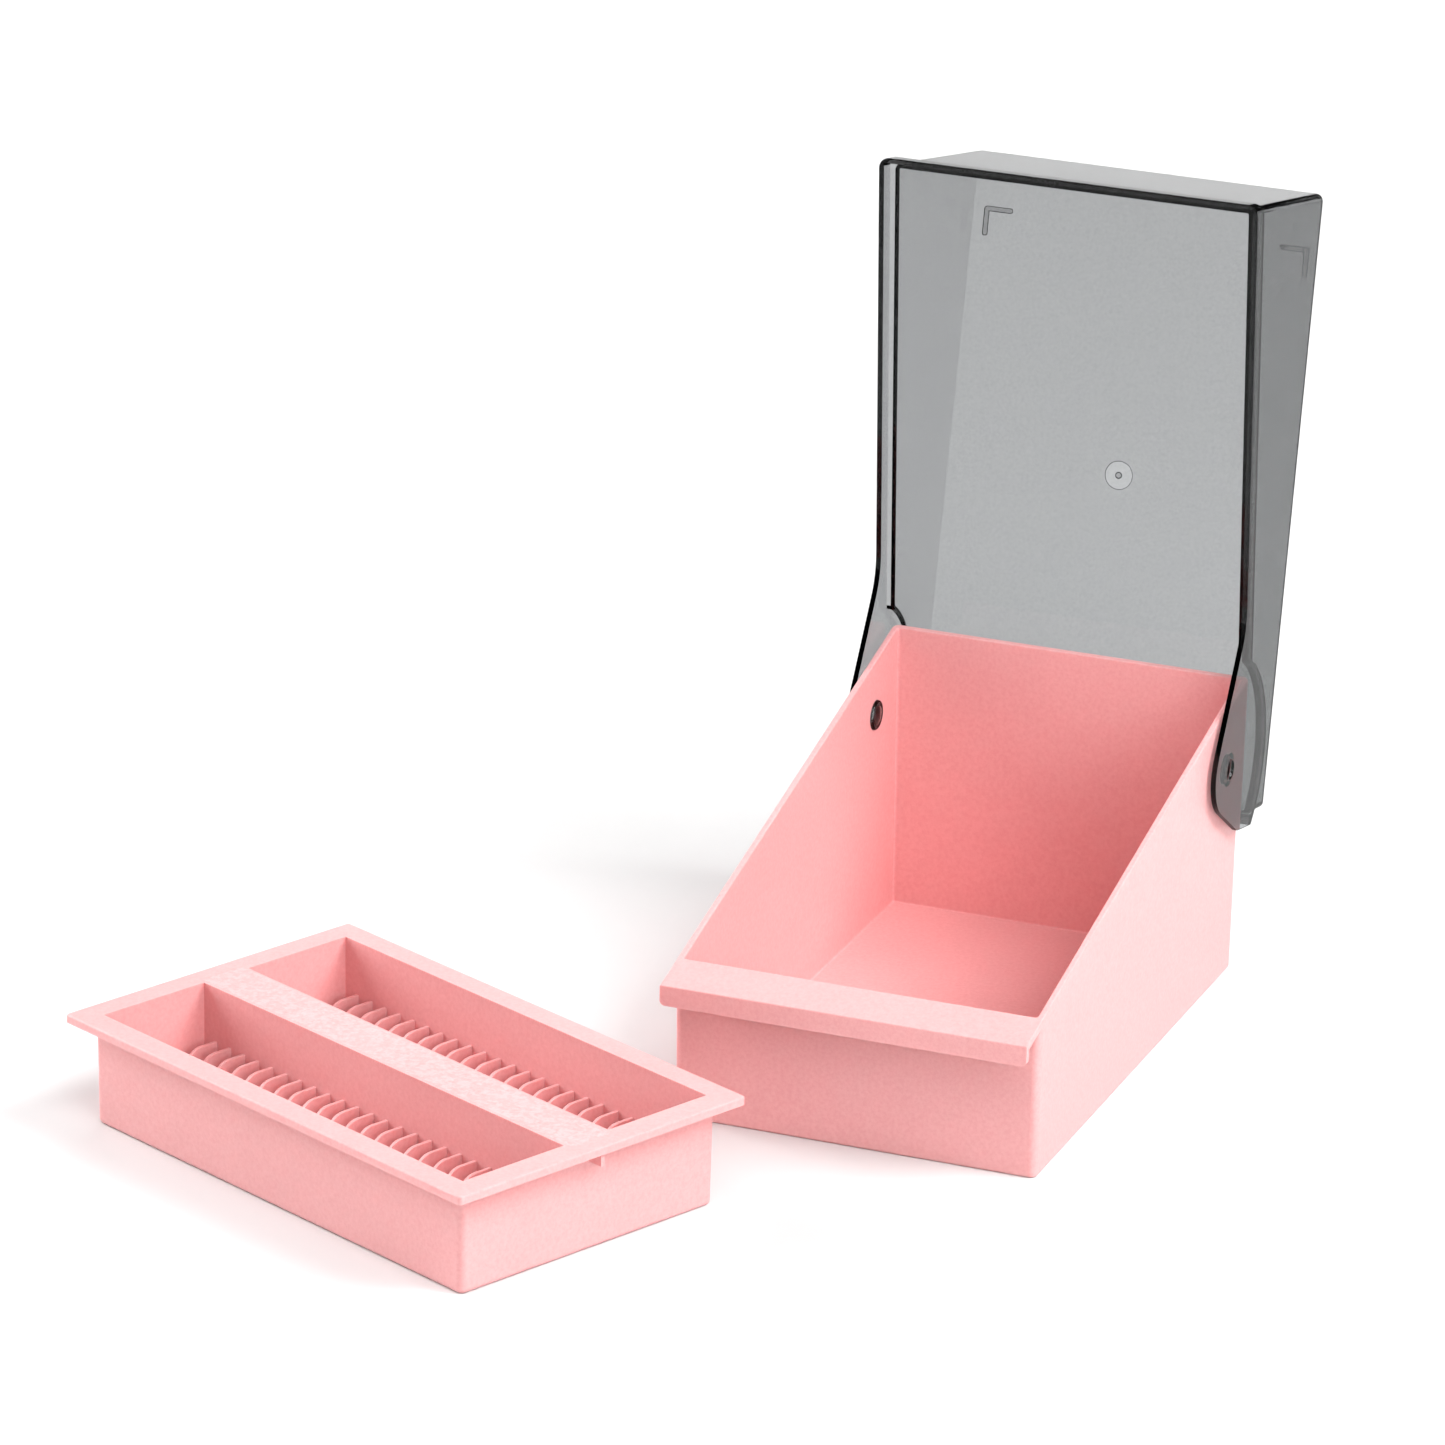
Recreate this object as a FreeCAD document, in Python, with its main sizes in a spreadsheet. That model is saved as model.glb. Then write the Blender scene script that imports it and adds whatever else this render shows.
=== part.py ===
import FreeCAD, Part
import math
import os
import Sketcher
from FreeCAD import Placement, Rotation, Vector

# Hinged storage box for microscope slides, in millimetres.
#
# Three mouldings: an open bin with a sloping rim and a finger lip, a transparent lid that turns on
# two stubs in the bin's side walls, and a lift-out tray with two rows of slots. The tray's slot
# ribs are separate solids, one object for each of the four walls that carry them.
#
# Row frame: +Z up, the bin's front towards -Y, origin at the centre of the bin's underside.
# The rest position is the box in use: lid swung open, tray standing on the table beside it.

SIZES = [
    # bin
    ("base_width", 80.0),
    ("base_depth", 126.8),
    ("wall_draft", 0.55),
    ("blank_height", 72.0),
    ("corner_radius", 1.6),
    ("foot_radius", 0.7),
    ("side_wall", 1.35),
    ("front_wall", 1.8),
    ("back_wall", 1.35),
    ("floor_thickness", 2.6),
    ("inner_radius", 0.6),
    ("inner_foot_radius", 0.45),
    ("rim_round", 0.35),
    # sloping rim, measured at the front face of the finger lip
    ("lip_front", 71.9),
    ("lip_top", 32.9),
    ("rim_slope", 14.25),
    ("lip_half_width", 40.3),
    ("lip_drop", 4.5),
    ("lip_plate", 1.5),
    ("lip_apron", 1.45),
    ("lip_corner", 1.2),
    ("lip_root", 1.0),
    # hinge line, above the base and behind its centre
    ("hinge_back", 49.5),
    ("hinge_height", 51.1),
    ("hinge_hole_radius", 3.4),
    ("stub_radius", 3.33),
    ("stub_end", 38.5),
    ("stub_end_round", 0.45),
    ("stub_root_round", 0.5),
    ("stub_bore_radius", 2.15),
    ("stub_bore_depth", 2.2),
    ("dish_radius", 2.4),
    ("dish_depth", 0.8),
    ("dish_taper", 35.0),
    ("dish_round", 0.35),
    # lid, measured from the hinge line with the lid closed
    ("lid_open_angle", 101.6),
    ("lid_rim_offset", 8.8),
    ("lid_rim_depth", 3.8),
    ("lid_ledge", 1.1),
    ("lid_skirt_half", 42.6),
    ("lid_skirt_wall", 1.15),
    ("lid_skirt_front", 123.9),
    ("lid_front_half", 40.57),
    ("lid_back_half", 41.22),
    ("lid_front", 122.8),
    ("lid_back", 13.7),
    ("lid_draft", 0.5),
    ("lid_low", 20.0),
    ("lid_top", 34.5),
    ("lid_wall", 1.2),
    ("lid_panel", 1.3),
    ("lid_corner", 1.7),
    ("lid_top_round", 1.3),
    ("lid_inner_round", 0.4),
    ("skirt_corner", 2.4),
    ("ear_step_radius", 24.7),
    ("ear_lobe_radius", 9.9),
    ("ear_back", 14.7),
    ("ear_back_height", 9.8),
    ("ear_start", 30.5),
    ("ear_blend", 16.0),
    ("step_round", 0.5),
    ("back_edge_height", 18.5),
    # small marks on the lid's top panel
    ("mark_arm", 6.6),
    ("mark_width", 1.15),
    ("mark_height", 0.6),
    ("mark_side", 37.05),
    ("mark_front", 110.3),
    ("mark_corner_round", 0.8),
    ("mark_end_round", 0.5),
    ("mark_top_round", 0.35),
    ("gate_front", 55.1),
    ("gate_radius", 3.2),
    ("gate_depth", 0.3),
    ("gate_round", 0.25),
    ("gate_pip_radius", 0.75),
    ("gate_pip_height", 0.25),
    ("gate_pip_round", 0.45),
    # tray, in its own frame: origin at the centre of its underside
    ("tray_length", 123.6),
    ("tray_width", 77.2),
    ("tray_height", 24.2),
    ("tray_flange", 1.8),
    ("tray_body_length", 114.6),
    ("tray_body_width", 68.3),
    ("tray_draft", 0.55),
    ("tray_corner", 1.6),
    ("tray_foot_radius", 1.2),
    ("tray_rim_corner", 0.8),
    ("tray_rim_round", 0.4),
    ("tray_floor", 2.0),
    ("channel_length", 112.4),
    ("channel_inner", 6.0),
    ("channel_outer", 32.9),
    ("bridge_wall", 1.4),
    ("tab_reach", 3.9),
    ("tab_height", 2.8),
    ("tab_width", 0.9),
    # slot ribs
    ("rib_count", 24),
    ("rib_pitch", 4.55),
    ("rib_width", 0.75),
    ("rib_reach", 8.2),
    ("rib_top", 12.05),
    ("rib_round", 4.1),
    # where the tray stands beside the bin
    ("tray_x", -82.2),
    ("tray_y", -108.5),
    ("tray_turn", -25.15),
]

doc = FreeCAD.newDocument("slide_box")
sheet = doc.addObject("Spreadsheet::Sheet", "sizes")
for row, (alias, number) in enumerate(SIZES, start=1):
    sheet.set("A%d" % row, alias)
    sheet.set("B%d" % row, str(number))
    sheet.setAlias("B%d" % row, alias)
doc.recompute()


class Size:
    """A number together with the expression that derives it from the spreadsheet."""

    def __init__(self, value, text):
        self.value = float(value)
        self.text = text

    @staticmethod
    def of(item):
        return item if isinstance(item, Size) else Size(item, "(%r)" % float(item))

    def __add__(self, other):
        other = Size.of(other)
        return Size(self.value + other.value, "(%s + %s)" % (self.text, other.text))

    def __sub__(self, other):
        other = Size.of(other)
        return Size(self.value - other.value, "(%s - %s)" % (self.text, other.text))

    def __mul__(self, other):
        other = Size.of(other)
        return Size(self.value * other.value, "(%s * %s)" % (self.text, other.text))

    def __truediv__(self, other):
        other = Size.of(other)
        return Size(self.value / other.value, "(%s / %s)" % (self.text, other.text))

    def __neg__(self):
        return Size(-self.value, "(0 - %s)" % self.text)

    def root(self):
        return Size(math.sqrt(self.value), "sqrt(%s)" % self.text)

    def tan(self):
        return Size(math.tan(math.radians(self.value)), "tan(%s * 1 deg)" % self.text)

    def cos(self):
        return Size(math.cos(math.radians(self.value)), "cos(%s * 1 deg)" % self.text)


def dim(alias):
    return Size(dict(SIZES)[alias], "sizes.%s" % alias)


# ---------------------------------------------------------------- modelling helpers

def new_body(label, several_solids=False):
    body = doc.addObject("PartDesign::Body", label)
    body.Label = label
    body.AllowCompound = several_solids
    return body


def new_sketch(body, name, plane, offset=None):
    sketch = body.newObject("Sketcher::SketchObject", name)
    support = [item for item in body.Origin.OriginFeatures if item.Role == plane][0]
    sketch.AttachmentSupport = [(support, "")]
    sketch.MapMode = "FlatFace"
    if offset is not None:
        sketch.AttachmentOffset = Placement(Vector(0, 0, offset.value), Rotation())
        sketch.setExpression("AttachmentOffset.Base.z", offset.text)
    return sketch


def fix_point(sketch, geometry, point, x, y):
    """Holds one sketch point at x, y from the sketch's origin; None leaves that direction free."""
    for kind, axis, size in (("DistanceX", -2, x), ("DistanceY", -1, y)):
        if size is None:
            continue
        if abs(size.value) < 1e-9:
            sketch.addConstraint(Sketcher.Constraint("PointOnObject", geometry, point, axis))
            continue
        index = sketch.addConstraint(
            Sketcher.Constraint(kind, -1, 1, geometry, point, size.value))
        sketch.setExpression("Constraints[%d]" % index, size.text)


def outline(body, name, plane, corners, offset=None, arcs=()):
    """Closed outline through the corners. A side named in arcs, with its turning direction, is
    an arc about the sketch's origin; every other side is straight."""
    turning = dict(arcs)
    sketch = new_sketch(body, name, plane, offset)
    points = [(Size.of(x), Size.of(y)) for x, y in corners]
    count = len(points)
    first_end, last_end = [], []
    for side in range(count):
        (x1, y1), (x2, y2) = points[side], points[(side + 1) % count]
        if side not in turning:
            line = Part.LineSegment(Vector(x1.value, y1.value), Vector(x2.value, y2.value))
            sketch.addGeometry(line)
            first_end.append(1)
            last_end.append(2)
            continue
        radius = math.hypot(x1.value, y1.value)
        angles = [math.atan2(y1.value, x1.value), math.atan2(y2.value, x2.value)]
        clockwise = turning[side] == "clockwise"
        if clockwise:
            angles.reverse()
        circle = Part.Circle(Vector(0, 0), Vector(0, 0, 1), radius)
        sketch.addGeometry(Part.ArcOfCircle(circle, angles[0], angles[1]))
        first_end.append(2 if clockwise else 1)
        last_end.append(1 if clockwise else 2)
    for side in range(count):
        after = (side + 1) % count
        joint = Sketcher.Constraint("Coincident", side, last_end[side], after, first_end[after])
        sketch.addConstraint(joint)
    for side in turning:
        sketch.addConstraint(Sketcher.Constraint("Coincident", side, 3, -1, 1))
    for side in range(count):
        x, y = points[side]
        if (side - 1) % count in turning:
            # the arc before this corner already fixes its distance from the origin
            if abs(x.value) > abs(y.value):
                x = None
            else:
                y = None
        fix_point(sketch, side, first_end[side], x, y)
    return sketch


def circle(body, name, plane, x, y, radius, offset=None):
    sketch = new_sketch(body, name, plane, offset)
    x, y = Size.of(x), Size.of(y)
    ring = Part.Circle(Vector(x.value, y.value), Vector(0, 0, 1), radius.value)
    sketch.addGeometry(ring)
    fix_point(sketch, 0, 3, x, y)
    index = sketch.addConstraint(Sketcher.Constraint("Radius", 0, radius.value))
    sketch.setExpression("Constraints[%d]" % index, radius.text)
    return sketch


def rectangle(x1, x2, y1, y2):
    return [(x1, y1), (x2, y1), (x2, y2), (x1, y2)]


def swept(body, kind, sketch, length, both_ways=False, backwards=False, taper=None):
    """Pad or Pocket of a sketch. A Pad must add volume and a Pocket must remove some."""
    doc.recompute()
    before = body.Shape.Volume if body.Shape.Solids else 0.0
    feature = body.newObject("PartDesign::" + kind, "%s_%s" % (sketch.Name, kind.lower()))
    feature.Profile = sketch
    length = Size.of(length)
    feature.Length = length.value
    feature.setExpression("Length", length.text)
    if both_ways:
        feature.SideType = "Symmetric"
    feature.Reversed = backwards
    if taper is not None:
        feature.TaperAngle = taper.value
        feature.setExpression("TaperAngle", taper.text)
    sketch.Visibility = False
    doc.recompute()
    change = body.Shape.Volume - before
    grew = change > 1e-3
    shrank = change < -1e-3
    if (kind == "Pad" and not grew) or (kind == "Pocket" and not shrank):
        raise RuntimeError("%s changed the volume by %.4f" % (feature.Name, change))
    return feature


def round_edges(body, name, radius, wanted):
    """Fillet on every edge of the body that `wanted` accepts."""
    doc.recompute()
    chosen = ["Edge%d" % n for n, edge in enumerate(body.Shape.Edges, 1) if wanted(edge)]
    if not chosen:
        raise RuntimeError("no edge for " + name)
    rounded = body.Tip
    fillet = body.newObject("PartDesign::Fillet", name)
    fillet.Base = (rounded, chosen)
    fillet.Radius = radius.value
    fillet.setExpression("Radius", radius.text)
    doc.recompute()
    if "Invalid" in fillet.State or fillet.Shape.isNull():
        raise RuntimeError("%s failed on %d edges" % (name, len(chosen)))
    return fillet


def direction(edge):
    ends = [vertex.Point for vertex in edge.Vertexes]
    if len(ends) < 2:
        return Vector(0, 0, 0)
    return (ends[-1] - ends[0]).normalize()


def upright(edge):
    return abs(direction(edge).z) > 0.99


def middle(edge):
    return edge.BoundBox.Center


def near(a, b, slack=0.05):
    return abs(a - b) < slack


# ---------------------------------------------------------------- bin

HALF_BASE = dim("base_width") / 2
HALF_DEPTH = dim("base_depth") / 2
SLOPE = dim("rim_slope")
FAR = Size(100, "100")
THROUGH = FAR * 2
# how deep a raised feature starts inside the wall that carries it
BITE = 0.3


def rim_height(y):
    """Height of the bin's sloping rim plane at y."""
    return dim("lip_top") + (y + dim("lip_front")) * SLOPE.tan()


def on_rim(point):
    rise = math.tan(math.radians(SLOPE.value))
    height = dim("lip_top").value + (point.y + dim("lip_front").value) * rise
    return near(point.z, height, 0.01)


def build_bin():
    body = new_body("bin")
    foot = outline(body, "foot_outline", "XY_Plane",
                   rectangle(-HALF_BASE, HALF_BASE, -HALF_DEPTH, HALF_DEPTH))
    swept(body, "Pad", foot, dim("blank_height"), taper=dim("wall_draft"))
    round_edges(body, "bin_corners", dim("corner_radius"), upright)
    round_edges(body, "bin_foot", dim("foot_radius"),
                lambda edge: near(edge.BoundBox.ZMax, 0.0))

    above_rim = outline(body, "above_rim", "YZ_Plane",
                        [(-FAR, rim_height(-FAR)), (FAR, rim_height(FAR)), (FAR, FAR), (-FAR, FAR)])
    swept(body, "Pocket", above_rim, THROUGH, both_ways=True)

    # finger lip: a thin plate in the rim plane with an apron turned down along its front
    front = -dim("lip_front")
    apron_back = front + dim("lip_apron")
    plate_depth = dim("lip_plate") / SLOPE.cos()
    root = -HALF_DEPTH + dim("lip_root")
    lip = outline(body, "lip_profile", "YZ_Plane", [
        (front, rim_height(front)),
        (front, rim_height(front) - dim("lip_drop")),
        (apron_back, rim_height(front) - dim("lip_drop")),
        (apron_back, rim_height(apron_back) - plate_depth),
        (root, rim_height(root) - plate_depth),
        (root, rim_height(root))])
    swept(body, "Pad", lip, dim("lip_half_width") * 2, both_ways=True)

    inside = outline(body, "bin_inside", "XY_Plane",
                     rectangle(-HALF_BASE + dim("side_wall"), HALF_BASE - dim("side_wall"),
                               -HALF_DEPTH + dim("front_wall"), HALF_DEPTH - dim("back_wall")),
                     offset=dim("floor_thickness"))
    swept(body, "Pocket", inside, dim("blank_height"), backwards=True, taper=dim("wall_draft"))

    floor = dim("floor_thickness").value
    inner_half = HALF_BASE.value - dim("side_wall").value

    def inside_corner(edge):
        spot = middle(edge)
        return upright(edge) and near(abs(spot.x), inner_half, 0.6) and spot.z > floor + 5

    round_edges(body, "bin_inner_corners", dim("inner_radius"), inside_corner)
    round_edges(body, "bin_inner_foot", dim("inner_foot_radius"),
                lambda edge: near(edge.BoundBox.ZMin, floor, 0.02)
                and near(edge.BoundBox.ZMax, floor, 0.02))

    hole = circle(body, "hinge_hole", "YZ_Plane", dim("hinge_back"), dim("hinge_height"),
                  dim("hinge_hole_radius"))
    swept(body, "Pocket", hole, THROUGH, both_ways=True)

    bottom = dim("lip_top").value - dim("lip_drop").value

    def lip_lower_corner(edge):
        spot = middle(edge)
        return (near(spot.z, bottom) and near(abs(spot.x), dim("lip_half_width").value)
                and abs(direction(edge).y) > 0.99)

    round_edges(body, "lip_corners", dim("lip_corner"), lip_lower_corner)
    round_edges(body, "rim_edges", dim("rim_round"),
                lambda edge: all(on_rim(vertex.Point) for vertex in edge.Vertexes))
    return body


# ---------------------------------------------------------------- lid

def lid_line(y, above):
    """Height at y, from the hinge line, of a plane parallel to the rim and `above` the hinge."""
    return above / SLOPE.cos() + y * SLOPE.tan()


def line_meets_circle(above, radius):
    """Front crossing of that plane with a circle about the hinge line."""
    slope = SLOPE.tan()
    rise = above / SLOPE.cos()
    one = slope * slope + 1.0
    reach = (radius * radius * one - rise * rise).root()
    y = -(slope * rise + reach) / one
    return y, lid_line(y, above)


def tangent_from(y, z, radius, side):
    """Point where a line from y, z touches a circle about the hinge line."""
    far2 = y * y + z * z
    along = radius * radius / far2
    across = radius * (far2 - radius * radius).root() / far2
    if side > 0:
        return y * along - z * across, z * along + y * across
    return y * along + z * across, z * along - y * across


def build_lid():
    body = new_body("lid")
    front_half, back_half, low = dim("lid_front_half"), dim("lid_back_half"), -dim("lid_low")
    front, back = -dim("lid_front"), dim("lid_back")
    top = dim("lid_top")
    rim = dim("lid_rim_offset")
    under_ledge = rim + dim("lid_rim_depth")
    over_ledge = under_ledge + dim("lid_ledge")
    skirt = dim("lid_skirt_half")
    skirt_inner = skirt - dim("lid_skirt_wall")
    skirt_front = -dim("lid_skirt_front")
    skirt_front_inner = skirt_front + dim("lid_skirt_wall")

    # outer box with a level top and an upright front, drafted towards the top and a little
    # wider at the hinge than at the front
    box = outline(body, "lid_box", "XY_Plane", [
        (-front_half, front), (front_half, front), (back_half, back), (-back_half, back)],
        offset=low)
    swept(body, "Pad", box, top - low, taper=-dim("lid_draft"))
    round_edges(body, "lid_front_corners", dim("lid_corner"),
                lambda edge: upright(edge) and middle(edge).y < 0)
    round_edges(body, "lid_back_corners", dim("lid_top_round"),
                lambda edge: upright(edge) and middle(edge).y > 0)
    round_edges(body, "lid_top_edges", dim("lid_top_round"),
                lambda edge: near(edge.BoundBox.ZMin, top.value, 0.01))
    below = outline(body, "below_ledge", "YZ_Plane",
                    [(-THROUGH, lid_line(-THROUGH, under_ledge)), (-THROUGH, -FAR),
                     (FAR, -FAR), (FAR, lid_line(FAR, under_ledge))])
    swept(body, "Pocket", below, THROUGH, both_ways=True)

    # skirt along the sloping edge, with an ear around the hinge line at each side
    step_y, step_z = line_meets_circle(over_ledge, dim("ear_step_radius"))
    ear_back = dim("ear_back")
    arc_top = (dim("ear_step_radius") * dim("ear_step_radius") - ear_back * ear_back).root()
    start = -dim("ear_start")
    lobe = dim("ear_lobe_radius")
    back_y, back_z = tangent_from(ear_back, dim("ear_back_height"), lobe, -1)
    front_y, front_z = tangent_from(start, lid_line(start, rim), lobe, 1)
    ear = outline(body, "skirt_and_ear", "YZ_Plane", [
        (skirt_front, lid_line(skirt_front, rim)),
        (skirt_front, lid_line(skirt_front, over_ledge)),
        (step_y, step_z),
        (ear_back, arc_top),
        (ear_back, dim("ear_back_height")),
        (back_y, back_z),
        (front_y, front_z),
        (start, lid_line(start, rim))], arcs=((2, "clockwise"), (5, "clockwise")))
    swept(body, "Pad", ear, skirt * 2, both_ways=True)

    def skirt_corner(edge):
        spot = middle(edge)
        return near(spot.y, skirt_front.value) and near(abs(spot.x), skirt.value)

    def ear_blend(edge):
        spot = middle(edge)
        return (near(spot.y, start.value) and near(spot.z, lid_line(start, rim).value)
                and abs(direction(edge).x) > 0.99)

    round_edges(body, "ear_blends", dim("ear_blend"), ear_blend)
    round_edges(body, "skirt_corners", dim("skirt_corner"), skirt_corner)

    def step_edge(edge):
        """Outer edge of the ledge: along the sloping skirt and around the ear."""
        spots = [vertex.Point for vertex in edge.Vertexes] + [edge.valueAt(
            (edge.FirstParameter + edge.LastParameter) / 2)]
        reach = dim("ear_step_radius").value
        return all(near(abs(p.x), skirt.value, 0.01) for p in spots) and (
            all(near(p.z, lid_line(Size.of(p.y), over_ledge).value, 0.02) for p in spots)
            or all(near(math.hypot(p.y, p.z), reach, 0.02) for p in spots))

    round_edges(body, "step_edges", dim("step_round"), step_edge)

    # hollow of the box
    wall = dim("lid_wall")
    hollow = outline(body, "lid_hollow", "XY_Plane", [
        (-front_half + wall, front + wall), (front_half - wall, front + wall),
        (back_half - wall, back - wall), (-back_half + wall, back - wall)], offset=low)
    swept(body, "Pocket", hollow, top - low - dim("lid_panel"), backwards=True,
          taper=-dim("lid_draft"))
    inner_top = top.value - dim("lid_panel").value
    round_edges(body, "hollow_corners", dim("lid_inner_round"),
                lambda edge: upright(edge) and near(edge.BoundBox.ZMax, inner_top))

    # hollow of the skirt and ears, which clears the bin's rim and keeps the lid's back wall
    gap_y, gap_z = line_meets_circle(under_ledge, dim("ear_step_radius") - dim("lid_ledge"))
    wall_in = back - wall
    inner_arc = dim("ear_step_radius") - dim("lid_ledge")
    inner_arc_top = (inner_arc * inner_arc - wall_in * wall_in).root()
    edge_height = dim("back_edge_height")
    around_bin = outline(body, "around_bin", "YZ_Plane", [
        (skirt_front_inner, -FAR),
        (skirt_front_inner, lid_line(skirt_front_inner, under_ledge)),
        (gap_y, gap_z),
        (wall_in, inner_arc_top),
        (wall_in, edge_height),
        (FAR, edge_height),
        (FAR, -FAR)], arcs=((2, "clockwise"),))
    swept(body, "Pocket", around_bin, skirt_inner * 2, both_ways=True)

    # hinge stubs: a cup on each ear that reaches through the bin's wall, open inwards, and a
    # shallow dish opposite it on the ear's outer face
    origin = Size(0, "0")
    for side, name in ((1, "right"), (-1, "left")):
        inner_face = skirt_inner * side
        stub = circle(body, name + "_stub", "YZ_Plane", origin, origin, dim("stub_radius"),
                      offset=inner_face)
        swept(body, "Pad", stub, skirt_inner - dim("stub_end"), backwards=side > 0)
        bore = circle(body, name + "_bore", "YZ_Plane", origin, origin,
                      dim("stub_bore_radius"), offset=dim("stub_end") * side)
        swept(body, "Pocket", bore, dim("stub_bore_depth"), backwards=side > 0)
        dish = circle(body, name + "_dish", "YZ_Plane", origin, origin,
                      dim("dish_radius"), offset=skirt * side)
        swept(body, "Pocket", dish, dim("dish_depth"), backwards=side < 0,
              taper=-dim("dish_taper"))

    def ring(x, radius=None):
        """Test for the round edges about the hinge line that lie at +x or -x."""
        def wanted(edge):
            spot = middle(edge)
            return (abs(spot.y) < 0.1 and abs(spot.z) < 0.1 and near(abs(spot.x), x, 0.02)
                    and (radius is None or near(edge.BoundBox.YLength, 2 * radius, 0.1)))
        return wanted

    round_edges(body, "dish_edges", dim("dish_round"),
                ring(skirt.value, dim("dish_radius").value))
    round_edges(body, "dish_floors", dim("dish_round"),
                ring(skirt.value - dim("dish_depth").value))
    round_edges(body, "stub_ends", dim("stub_end_round"),
                ring(dim("stub_end").value, dim("stub_radius").value))
    round_edges(body, "stub_roots", dim("stub_root_round"),
                ring(skirt_inner.value, dim("stub_radius").value))

    # corner marks raised on the top panel, and the moulding's gate dimple at its centre
    arm, width = dim("mark_arm"), dim("mark_width")
    corner_y = -dim("mark_front")
    for side, name in ((1, "right"), (-1, "left")):
        corner_x = dim("mark_side") * side
        mark = outline(body, name + "_mark", "XY_Plane", [
            (corner_x, corner_y),
            (corner_x - arm * side, corner_y),
            (corner_x - arm * side, corner_y + width),
            (corner_x - width * side, corner_y + width),
            (corner_x - width * side, corner_y + arm),
            (corner_x, corner_y + arm)], offset=top - BITE)
        swept(body, "Pad", mark, dim("mark_height") + BITE)

    mark_top = top.value + dim("mark_height").value
    mark_outer = dim("mark_side")

    def mark_side_edge(edge):
        return upright(edge) and near(edge.BoundBox.ZMax, mark_top)

    def mark_end(edge):
        spot = middle(edge)
        return mark_side_edge(edge) and (
            near(abs(spot.x), mark_outer.value - arm.value)
            or near(spot.y, corner_y.value + arm.value))

    round_edges(body, "mark_corners", dim("mark_corner_round"),
                lambda edge: mark_side_edge(edge) and near(abs(middle(edge).x), mark_outer.value)
                and near(middle(edge).y, corner_y.value))
    round_edges(body, "mark_ends", dim("mark_end_round"), mark_end)
    round_edges(body, "mark_tops", dim("mark_top_round"),
                lambda edge: near(edge.BoundBox.ZMin, mark_top, 0.01))

    gate = circle(body, "gate", "XY_Plane", origin, -dim("gate_front"), dim("gate_radius"),
                  offset=top)
    swept(body, "Pocket", gate, dim("gate_depth"))
    pip = circle(body, "gate_pip", "XY_Plane", origin, -dim("gate_front"),
                 dim("gate_pip_radius"), offset=top - dim("gate_depth") - BITE)
    swept(body, "Pad", pip, dim("gate_depth") + BITE + dim("gate_pip_height"))

    def gate_ring(radius, height):
        """Test for the round edge of this radius about the gate at this height."""
        def wanted(edge):
            return (near(edge.BoundBox.XLength, 2 * dim(radius).value, 0.1)
                    and near(edge.BoundBox.YLength, 2 * dim(radius).value, 0.1)
                    and near(edge.BoundBox.ZMin, height.value, 0.01)
                    and near(edge.BoundBox.ZMax, height.value, 0.01))
        return wanted

    round_edges(body, "gate_floor_edge", dim("gate_round"),
                gate_ring("gate_radius", top - dim("gate_depth")))
    round_edges(body, "gate_pip_top", dim("gate_pip_round"),
                gate_ring("gate_pip_radius", top + dim("gate_pip_height")))

    # swung open about the hinge line
    body.Placement = Placement(Vector(0, dim("hinge_back").value, dim("hinge_height").value),
                               Rotation(Vector(-1, 0, 0), dim("lid_open_angle").value))
    body.setExpression("Placement.Base.y", "sizes.hinge_back")
    body.setExpression("Placement.Base.z", "sizes.hinge_height")
    body.setExpression("Placement.Rotation.Angle", "sizes.lid_open_angle * 1 deg")
    return body


# ---------------------------------------------------------------- tray

def stand_beside_bin(body, half_turn=False):
    """Puts a body drawn in the tray's frame where the tray stands; half_turn swaps its ends."""
    turn = dim("tray_turn") + 180 if half_turn else dim("tray_turn")
    body.Placement = Placement(Vector(dim("tray_x").value, dim("tray_y").value, 0),
                               Rotation(Vector(0, 0, 1), turn.value))
    body.setExpression("Placement.Base.x", "sizes.tray_x")
    body.setExpression("Placement.Base.y", "sizes.tray_y")
    return body


def build_tray():
    body = new_body("tray_shell")
    half_length, half_width = dim("tray_length") / 2, dim("tray_width") / 2
    body_x, body_y = dim("tray_body_length") / 2, dim("tray_body_width") / 2
    under_flange = dim("tray_height") - dim("tray_flange")
    height = dim("tray_height")

    foot = outline(body, "tray_foot", "XY_Plane", rectangle(-body_x, body_x, -body_y, body_y))
    swept(body, "Pad", foot, under_flange, taper=dim("tray_draft"))
    round_edges(body, "tray_corners", dim("tray_corner"), upright)
    round_edges(body, "tray_foot_edges", dim("tray_foot_radius"),
                lambda edge: near(edge.BoundBox.ZMax, 0.0))

    # tab under the flange at the middle of each short end
    reach = body_x + dim("tab_reach")
    tabs = outline(body, "end_tabs", "XZ_Plane",
                   rectangle(-reach, reach, under_flange - dim("tab_height"), under_flange))
    swept(body, "Pad", tabs, dim("tab_width"), both_ways=True)

    flange = outline(body, "flange", "XY_Plane",
                     rectangle(-half_length, half_length, -half_width, half_width),
                     offset=under_flange)
    swept(body, "Pad", flange, dim("tray_flange"))
    round_edges(body, "flange_corners", dim("tray_rim_corner"),
                lambda edge: upright(edge) and near(abs(middle(edge).x), half_length.value))
    round_edges(body, "flange_edges", dim("tray_rim_round"),
                lambda edge: near(edge.BoundBox.ZMin, height.value, 0.01))

    # two slot channels, and the blind hollow under the bridge between them
    channel_x = dim("channel_length") / 2
    for side, name in ((1, "back"), (-1, "front")):
        channel = outline(body, name + "_channel", "XY_Plane",
                          rectangle(-channel_x, channel_x, dim("channel_inner") * side,
                                    dim("channel_outer") * side), offset=height)
        swept(body, "Pocket", channel, height - dim("tray_floor"))
    hollow_y = dim("channel_inner") - dim("bridge_wall")
    hollow = outline(body, "bridge_hollow", "XY_Plane",
                     rectangle(-channel_x, channel_x, -hollow_y, hollow_y))
    swept(body, "Pocket", hollow, under_flange, backwards=True)
    return stand_beside_bin(body)


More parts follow.
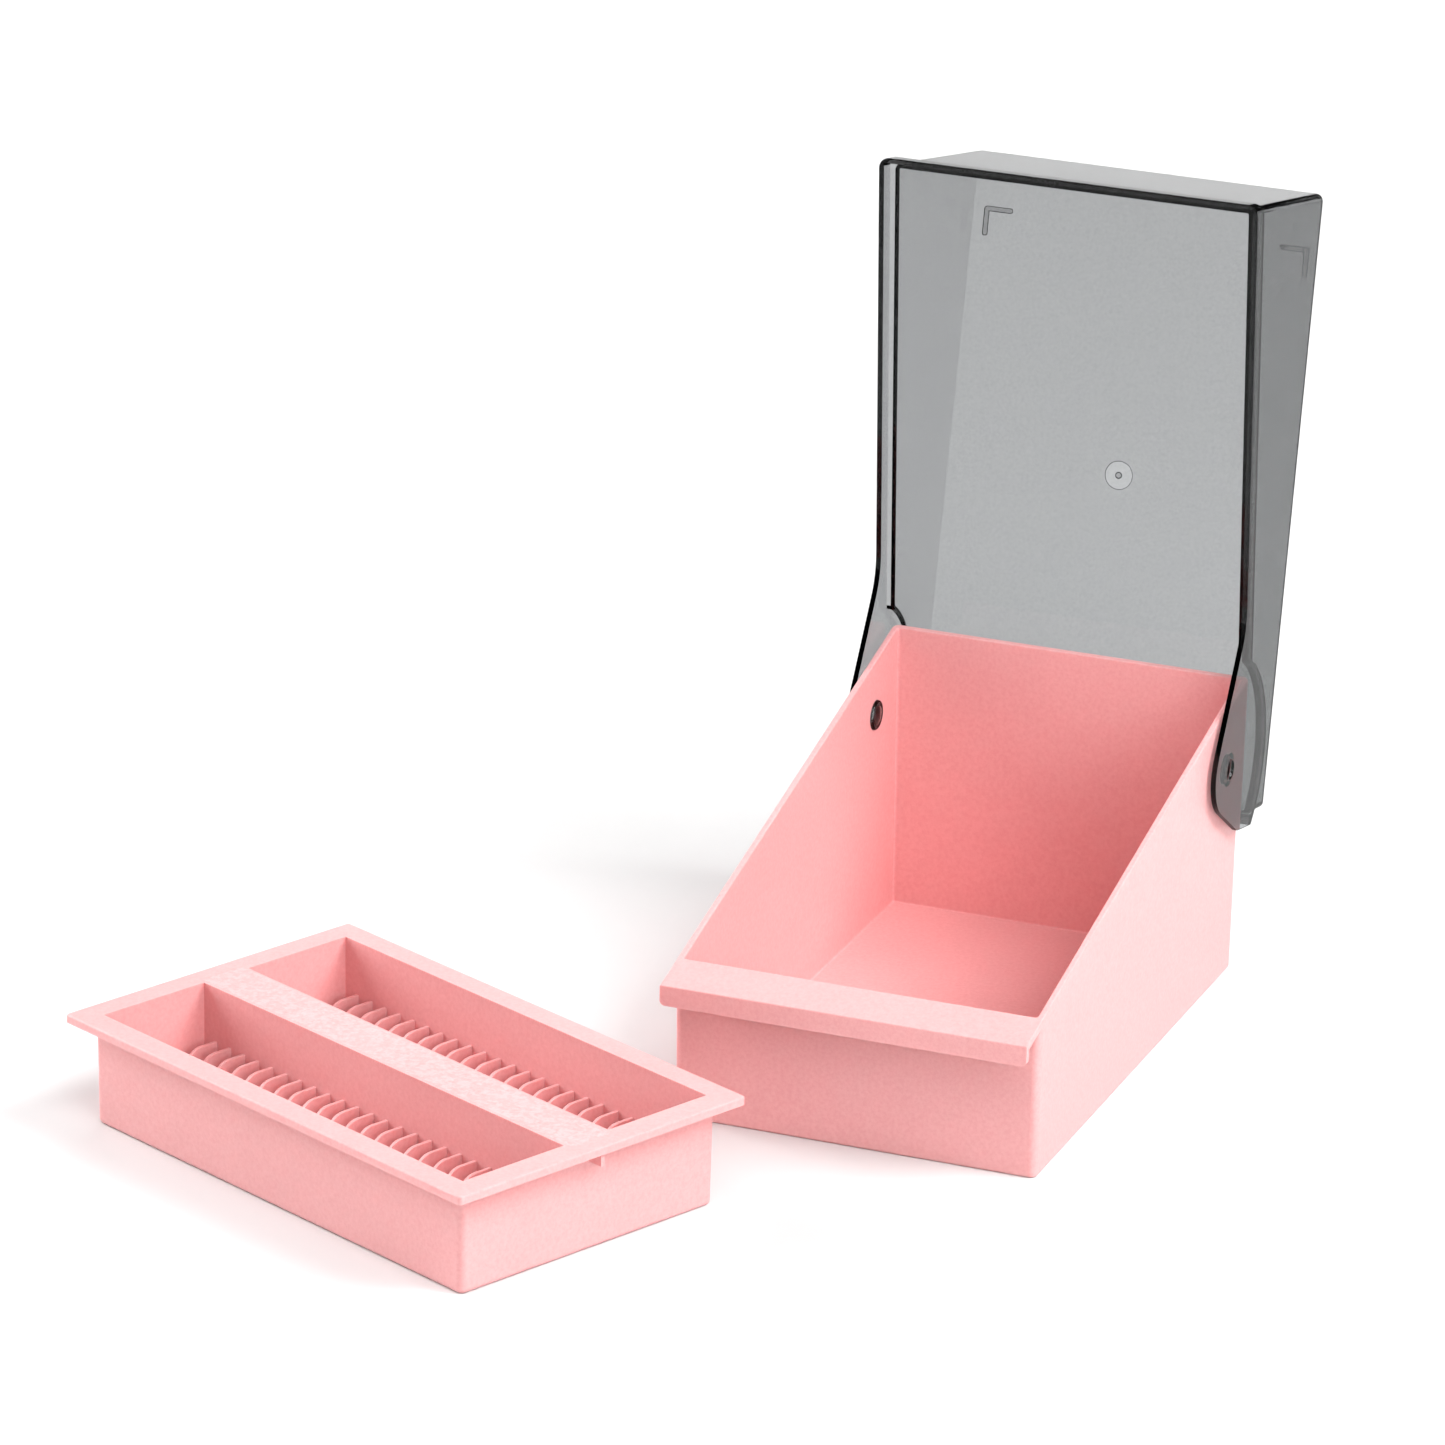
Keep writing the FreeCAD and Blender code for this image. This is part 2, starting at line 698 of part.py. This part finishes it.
def build_ribs(label, wall, inward, half_turn):
    """One row of slot ribs along a channel wall, in the tray's frame: the wall's distance from
    the tray's middle, and the direction in which the ribs stand out from it."""
    body = new_body(label, several_solids=True)
    tip = wall + dim("rib_reach") * inward
    rib = outline(body, label + "_profile", "YZ_Plane",
                  rectangle(wall, tip, dim("tray_floor"), dim("rib_top")),
                  offset=-dim("rib_pitch") * (dim("rib_count") - 1) / 2)
    pad = swept(body, "Pad", rib, dim("rib_width"), both_ways=True)
    fillet = round_edges(body, label + "_round", dim("rib_round"),
                         lambda edge: near(middle(edge).z, dim("rib_top").value)
                         and near(middle(edge).y, tip.value)
                         and abs(direction(edge).x) > 0.99)
    pattern = body.newObject("PartDesign::LinearPattern", label + "_pattern")
    pattern.Originals = [pad, fillet]
    pattern.TransformMode = "Whole shape"
    pattern.Direction = (rib, ["N_Axis"])
    pattern.Mode = "Spacing"
    pattern.Offset = dim("rib_pitch").value
    pattern.setExpression("Offset", "sizes.rib_pitch")
    pattern.Occurrences = int(dim("rib_count").value)
    pattern.setExpression("Occurrences", "sizes.rib_count")
    body.Tip = pattern
    doc.recompute()
    if len(body.Shape.Solids) != int(dim("rib_count").value):
        raise RuntimeError("%s has %d ribs" % (label, len(body.Shape.Solids)))
    return stand_beside_bin(body, half_turn)


# ---------------------------------------------------------------- assembly

NODES = [
    build_bin(),
    build_lid(),
    build_tray(),
    build_ribs("ribs_back_outer", dim("channel_outer"), -1, False),
    build_ribs("ribs_back_inner", dim("channel_inner"), 1, False),
    build_ribs("ribs_front_outer", dim("channel_outer"), -1, True),
    build_ribs("ribs_front_inner", dim("channel_inner"), 1, True),
]
doc.recompute()

for item in doc.Objects:
    if "Invalid" in item.State or "Error" in item.State:
        raise RuntimeError("%s did not compute: %s" % (item.Name, item.State))

os.makedirs("parts", exist_ok=True)
for node in NODES:
    shape = node.Shape
    if shape.isNull() or not shape.isValid() or not shape.Solids:
        raise RuntimeError("%s has no valid shape" % node.Label)
    shape.exportStep("parts/%s.step" % node.Label)
    print("%-18s %2d solid(s) %9.1f mm3" % (node.Label, len(shape.Solids), shape.Volume))
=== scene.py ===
import math

import bpy
from mathutils import Matrix, Vector


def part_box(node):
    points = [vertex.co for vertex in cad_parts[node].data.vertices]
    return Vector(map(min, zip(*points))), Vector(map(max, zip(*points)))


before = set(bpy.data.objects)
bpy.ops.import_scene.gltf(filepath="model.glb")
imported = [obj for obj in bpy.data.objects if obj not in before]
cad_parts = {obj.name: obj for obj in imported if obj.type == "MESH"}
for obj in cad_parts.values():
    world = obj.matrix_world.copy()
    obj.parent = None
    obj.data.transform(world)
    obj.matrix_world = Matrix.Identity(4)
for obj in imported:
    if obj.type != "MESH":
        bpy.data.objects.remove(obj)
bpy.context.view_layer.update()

RIB_ROWS = ("ribs_back_outer", "ribs_back_inner", "ribs_front_outer", "ribs_front_inner")
TRAY_NODES = ("tray_shell", *RIB_ROWS)

# The tray stands turned on the table; the rough patch on its bridge needs its own axes.
TRAY_TURN = math.radians(-25.15)
BRIDGE_HALF_WIDTH = 0.0056
BRIDGE_HALF_LENGTH = 0.0580

# colours, linear RGB
WHITE = (1.0, 1.0, 1.0)
BLACK = (0.0, 0.0, 0.0)
PINK = (0.80, 0.385, 0.385)
PINK_DEEP = (0.55, 0.20, 0.20)
PINK_PALE = (1.0, 0.75, 0.75)
# paler pink painted along the edges as an edge highlight
PINK_EDGE_HIGHLIGHT = (0.95, 0.52, 0.51)
# pale fleck colour of the bridge's frost, partly painted glints
PINK_FROST_GLINT = (0.90, 0.66, 0.67)
CLEAR_CLEAN = (0.975, 0.985, 0.99)
CLEAR_DUSTY = (0.925, 0.935, 0.945)
PAPER_LIGHT = (0.72, 0.72, 0.72)
PAPER_DARK = (0.70, 0.70, 0.70)

PINK_IOR = 1.49
LID_IOR = 1.50


# ---------------------------------------------------------------- node helpers

class Nodes:
    """A short way to build one material's node tree."""

    def __init__(self, name):
        self.material = bpy.data.materials.new(name)
        self.material.use_nodes = True
        self.tree = self.material.node_tree
        self.tree.nodes.clear()
        self.output = self.add("ShaderNodeOutputMaterial")
        self.place = self.add("ShaderNodeTexCoord").outputs["Object"]

    def add(self, kind, **settings):
        node = self.tree.nodes.new(kind)
        for key, value in settings.items():
            setattr(node, key, value)
        return node

    def link(self, source, target):
        self.tree.links.new(source, target)

    def math(self, operation, a, b=0.0):
        node = self.add("ShaderNodeMath", operation=operation)
        for socket, value in zip(node.inputs, (a, b)):
            if isinstance(value, (int, float)):
                socket.default_value = value
            else:
                self.link(value, socket)
        return node.outputs[0]

    def vector_math(self, operation, *vectors):
        """Single value that an operation makes of one or two vectors."""
        node = self.add("ShaderNodeVectorMath", operation=operation)
        for socket, vector in zip(node.inputs, vectors):
            self.link(vector, socket)
        return node.outputs["Value"]

    def spread(self, value, low, high, from_low=0.0, from_high=1.0, smooth=False):
        """Value mapped from one range to another, clamped."""
        node = self.add("ShaderNodeMapRange")
        node.interpolation_type = "SMOOTHSTEP" if smooth else "LINEAR"
        self.link(value, node.inputs["Value"])
        node.inputs["From Min"].default_value = from_low
        node.inputs["From Max"].default_value = from_high
        node.inputs["To Min"].default_value = low
        node.inputs["To Max"].default_value = high
        return node.outputs["Result"]

    def noise(self, scale, detail=3.0, roughness=0.5):
        node = self.add("ShaderNodeTexNoise")
        self.link(self.place, node.inputs["Vector"])
        node.inputs["Scale"].default_value = scale
        node.inputs["Detail"].default_value = detail
        node.inputs["Roughness"].default_value = roughness
        return node.outputs["Fac"]

    def mix(self, factor, a, b):
        node = self.add("ShaderNodeMix", data_type="RGBA")
        colour_a, colour_b = node.inputs[6], node.inputs[7]
        for socket, value in ((node.inputs["Factor"], factor), (colour_a, a), (colour_b, b)):
            if isinstance(value, tuple):
                socket.default_value = (*value, 1.0)
            elif isinstance(value, float):
                socket.default_value = value
            else:
                self.link(value, socket)
        return node.outputs[2]

    def bump(self, height, distance, strength=1.0, normal=None):
        node = self.add("ShaderNodeBump")
        self.link(height, node.inputs["Height"])
        node.inputs["Distance"].default_value = distance
        node.inputs["Strength"].default_value = strength
        if normal is not None:
            self.link(normal, node.inputs["Normal"])
        return node.outputs["Normal"]


def shade(colour, factor):
    return tuple(min(1.0, c * factor) for c in colour)


# ---------------------------------------------------------------- pink plastic

def painted_edge_highlight(n):
    """Mask of the part's sharp edges, inner and outer, where a paler pink is painted on as an edge
    highlight.
    """
    bevel = n.add("ShaderNodeBevel", samples=6)
    bevel.inputs["Radius"].default_value = 0.0006
    straight = n.add("ShaderNodeNewGeometry").outputs["Normal"]
    return n.spread(n.vector_math("DOT_PRODUCT", bevel.outputs["Normal"], straight),
                    0.35, 0.0, 0.80, 0.99)


def bridge_top(n):
    """Mask of the top of the tray's bridge, inside its smooth border."""
    low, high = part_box("tray_shell")
    centre = (low + high) / 2
    turned = n.add("ShaderNodeVectorRotate", rotation_type="Z_AXIS")
    turned.inputs["Angle"].default_value = -TRAY_TURN
    turned.inputs["Center"].default_value = (centre.x, centre.y, 0.0)
    n.link(n.place, turned.inputs["Vector"])
    split = n.add("ShaderNodeSeparateXYZ")
    n.link(turned.outputs["Vector"], split.inputs[0])
    across = n.math("ABSOLUTE", n.math("SUBTRACT", split.outputs["Y"], centre.y))
    along = n.math("ABSOLUTE", n.math("SUBTRACT", split.outputs["X"], centre.x))
    mask = n.math("MULTIPLY",
                  n.spread(across, 1.0, 0.0, BRIDGE_HALF_WIDTH - 0.0005, BRIDGE_HALF_WIDTH),
                  n.spread(along, 1.0, 0.0, BRIDGE_HALF_LENGTH - 0.0008, BRIDGE_HALF_LENGTH))
    near_top = n.spread(split.outputs["Z"], 0.0, 1.0, high.z - 4e-4, high.z - 2e-4)
    return n.math("MULTIPLY", mask, near_top)


def crystal_patch(n, base, rough, normal):
    """Adds the coarse, frosted texture of the bridge's top, with pale flecks that are partly the
    frost's own tone and partly painted glints.
    """
    mask = bridge_top(n)
    pits = n.noise(800.0, 3.0, 0.65)
    flecks = n.add("ShaderNodeTexVoronoi")
    n.link(n.place, flecks.inputs["Vector"])
    flecks.inputs["Scale"].default_value = 900.0
    crystal = n.math("ADD", pits, n.math("MULTIPLY", flecks.outputs["Distance"], 0.6))
    normal = n.bump(n.math("MULTIPLY", crystal, mask), 0.00025, 0.5, normal)
    # pale flecks where the pits crest: partly the frost's own paler tone, partly painted glints on
    # its facets
    lit = n.math("MULTIPLY", mask, n.spread(pits, 0.0, 0.26, 0.44, 0.58))
    base = n.mix(lit, base, PINK_FROST_GLINT)
    rough = n.math("SUBTRACT", rough, n.math("MULTIPLY", lit, 0.18))
    return base, rough, normal


def pink_plastic(name, bridge=False):
    """Satin moulded plastic: a fine spark-eroded grain, faint flow clouds, and a painted highlight
    of paler pink along the edges.
    """
    n = Nodes(name)
    clouds = n.noise(38.0, 4.0, 0.55)
    speck = n.noise(1100.0, 3.0, 0.7)
    grain = n.noise(2600.0, 3.0, 0.65)

    base = n.mix(n.spread(clouds, 0.0, 1.0, 0.3, 0.7), shade(PINK, 0.975), shade(PINK, 1.015))
    base = n.mix(n.spread(speck, 0.0, 1.0, 0.35, 0.65),
                 n.mix(0.10, base, PINK_DEEP), n.mix(0.10, base, PINK_PALE))
    # paler pink along the edges: a painted edge highlight
    base = n.mix(painted_edge_highlight(n), base, PINK_EDGE_HIGHLIGHT)
    rough = n.spread(clouds, 0.40, 0.50, 0.25, 0.75)
    normal = n.bump(grain, 0.00004, 0.5)
    normal = n.bump(clouds, 0.0006, 0.12, normal)
    if bridge:
        base, rough, normal = crystal_patch(n, base, rough, normal)

    shader = n.add("ShaderNodeBsdfPrincipled")
    n.link(base, shader.inputs["Base Color"])
    n.link(rough, shader.inputs["Roughness"])
    n.link(normal, shader.inputs["Normal"])
    shader.inputs["IOR"].default_value = PINK_IOR
    shader.inputs["Specular IOR Level"].default_value = 0.32
    shader.inputs["Subsurface Weight"].default_value = 0.18
    shader.inputs["Subsurface Scale"].default_value = 0.0025
    shader.inputs["Subsurface Radius"].default_value = (1.0, 0.42, 0.38)
    n.link(shader.outputs["BSDF"], n.output.inputs["Surface"])
    return n.material


# ---------------------------------------------------------------- smoked lid

def smoked_clear(name):
    """Polished transparent plastic, dark where light crosses much of it, with faint wipe marks
    and a little dust. Its shine is kept low, so that its edges stay dark."""
    n = Nodes(name)
    haze = n.noise(26.0, 5.0, 0.6)
    dust = n.noise(1500.0, 2.0, 0.5)
    rough = n.spread(haze, 0.002, 0.022, 0.35, 0.75)
    normal = n.bump(haze, 0.0004, 0.02)

    clear = n.add("ShaderNodeBsdfRefraction")
    n.link(n.mix(n.spread(dust, 0.0, 1.0, 0.40, 0.75), CLEAR_CLEAN, CLEAR_DUSTY),
           clear.inputs["Color"])
    clear.inputs["IOR"].default_value = LID_IOR
    shine = n.add("ShaderNodeBsdfAnisotropic")
    shine.inputs["Color"].default_value = (*WHITE, 1.0)
    angle = n.add("ShaderNodeFresnel")
    angle.inputs["IOR"].default_value = LID_IOR
    for node in (clear, shine):
        n.link(rough, node.inputs["Roughness"])
    for node in (clear, shine, angle):
        n.link(normal, node.inputs["Normal"])
    both = n.add("ShaderNodeMixShader")
    n.link(n.math("MULTIPLY", angle.outputs[0], 0.45), both.inputs[0])
    n.link(clear.outputs[0], both.inputs[1])
    n.link(shine.outputs[0], both.inputs[2])
    n.link(both.outputs[0], n.output.inputs["Surface"])

    inside = n.add("ShaderNodeVolumeAbsorption")
    inside.inputs["Color"].default_value = (*BLACK, 1.0)
    inside.inputs["Density"].default_value = 680.0
    n.link(inside.outputs["Volume"], n.output.inputs["Volume"])
    return n.material


# ---------------------------------------------------------------- dressing

def dress(node, material):
    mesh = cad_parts[node]
    mesh.data.materials.clear()
    mesh.data.materials.append(material)


dress("bin", pink_plastic("bin_pink"))
dress("lid", smoked_clear("lid_smoke"))
tray_pink = pink_plastic("tray_pink", bridge=True)
for tray_node in TRAY_NODES:
    dress(tray_node, tray_pink)


# ---------------------------------------------------------------- studio

FLOOR_SIZE = 80.0
GLOW_START, GLOW_FULL = 1.15, 1.55
GLOW_STRENGTH = 0.85


def studio_floor(name):
    """Matt pale paper. Past the softboxes it glows softly, as a lit sweep does, so that low
    views end in the same white."""
    n = Nodes(name)
    glow = n.spread(n.vector_math("LENGTH", n.place), 0.0, GLOW_STRENGTH,
                    GLOW_START, GLOW_FULL, smooth=True)
    paper = n.noise(60.0, 4.0, 0.6)
    shader = n.add("ShaderNodeBsdfPrincipled")
    n.link(n.mix(paper, PAPER_DARK, PAPER_LIGHT), shader.inputs["Base Color"])
    shader.inputs["Roughness"].default_value = 0.9
    shader.inputs["Specular IOR Level"].default_value = 0.2
    shader.inputs["Emission Color"].default_value = (*WHITE, 1.0)
    n.link(glow, shader.inputs["Emission Strength"])
    n.link(shader.outputs["BSDF"], n.output.inputs["Surface"])
    return n.material


def place_object(name, data):
    item = bpy.data.objects.new(name, data)
    bpy.context.scene.collection.objects.link(item)
    return item


def square(name, size, material):
    half = size / 2
    corners = [(-half, -half, 0), (half, -half, 0), (half, half, 0), (-half, half, 0)]
    mesh = bpy.data.meshes.new(name)
    mesh.from_pydata(corners, [], [(0, 1, 2, 3)])
    mesh.materials.append(material)
    return place_object(name, mesh)


def facing(way):
    """Turn that makes a lamp shine along `way`."""
    return way.to_track_quat("-Z", "Y").to_euler()


def softbox(name, place, target, width, height, watts):
    lamp = bpy.data.lights.new(name, "AREA")
    lamp.shape = "RECTANGLE"
    lamp.size = width
    lamp.size_y = height
    lamp.energy = watts
    item = place_object(name, lamp)
    item.location = place
    item.rotation_euler = facing(Vector(target) - Vector(place))


def sky_panel(way, strength, spread):
    """Even light from overhead, which fills the shadows."""
    lamp = bpy.data.lights.new("sky_panel", "SUN")
    lamp.energy = strength
    lamp.angle = spread
    place_object("sky_panel", lamp).rotation_euler = facing(Vector(way))


floor = square("floor", FLOOR_SIZE, studio_floor("pale_paper"))

# softboxes high on the right and in front, lower ones on both sides and behind
AIM = (0.0, 0.0, 0.05)
softbox("right_high", (1.20, 0.10, 1.30), AIM, 1.0, 1.0, 35.0)
softbox("right_front", (1.30, -1.30, 0.70), AIM, 1.0, 1.0, 14.6)
softbox("left_side", (-1.60, -0.10, 0.75), AIM, 1.2, 1.2, 38.5)
softbox("front_high", (0.60, -1.00, 1.70), AIM, 1.0, 1.0, 15.6)
softbox("back", (0.0, 1.80, 1.00), (0.0, 0.0, 0.10), 1.6, 1.2, 14.6)
sky_panel((-0.15, -0.10, -1.0), 0.35, math.radians(60.0))

world = bpy.data.worlds.new("studio")
world.use_nodes = True
background = world.node_tree.nodes["Background"]
background.inputs["Color"].default_value = (*WHITE, 1.0)
background.inputs["Strength"].default_value = 0.02
bpy.context.scene.world = world
bpy.context.scene.view_settings.view_transform = "Standard"
bpy.context.scene.view_settings.look = "None"


# ---------------------------------------------------------------- camera

EYE = (0.53970, -1.51675, 0.67654)
TURN, DIP, ROLL = math.radians(21.43), math.radians(20.61), math.radians(1.03)

ahead = Vector((-math.sin(TURN) * math.cos(DIP), math.cos(TURN) * math.cos(DIP), -math.sin(DIP)))
level = ahead.cross(Vector((0, 0, 1))).normalized()
upward = level.cross(ahead)
right = level * math.cos(ROLL) + upward * math.sin(ROLL)
up = upward * math.cos(ROLL) - level * math.sin(ROLL)

lens = bpy.data.cameras.new("camera")
lens.sensor_width = 36.0
lens.lens = 203.1
lens.clip_start = 0.05
lens.clip_end = 200.0
camera = place_object("camera", lens)
camera.matrix_world = Matrix.Translation(EYE) @ Matrix((right, up, -ahead)).transposed().to_4x4()
bpy.context.scene.camera = camera
